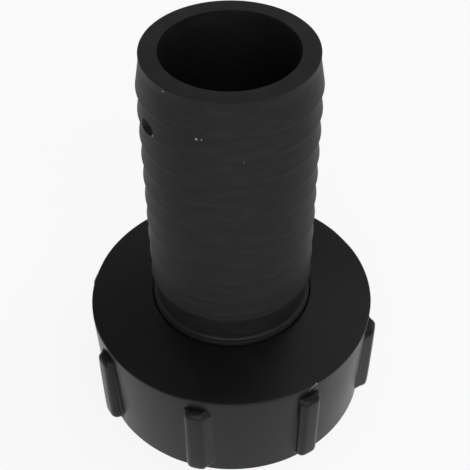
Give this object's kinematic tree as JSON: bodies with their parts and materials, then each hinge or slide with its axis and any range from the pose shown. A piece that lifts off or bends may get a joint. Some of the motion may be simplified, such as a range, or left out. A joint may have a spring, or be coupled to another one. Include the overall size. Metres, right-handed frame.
{
  "type": "hose tail adapter",
  "caption": "Swivel adapter for a bulk container's tap: a ribbed union nut with a coarse female thread and a barbed hose tail with a straight bore.",
  "frame": {"origin": "centre of the nut's open rim, on the bore's axis, where the part stands", "axes": "+Z along the bore from the nut's open rim to the tail's open end, -Y the front seen in the picture, +X to its right"},
  "size_m": [0.0744, 0.0744, 0.1027],
  "materials": {
    "nut_plastic": "black polypropylene, moulded, semi-matt",
    "tail_plastic": "black polypropylene, moulded, semi-matt",
    "gasket_rubber": "black rubber, cut from sheet, matt"
  },
  "bodies": {
    "nut": {"union_nut": "nut_plastic"},
    "tail": {"hose_tail": "tail_plastic", "gasket": "gasket_rubber"}
  },
  "joints": [
    {"name": "nut_swivel", "type": "hinge", "parent": "nut", "child": "tail", "pos_m": [0, 0, 0.0274], "axis": [0, 0, 1], "continuous": true}
  ]
}
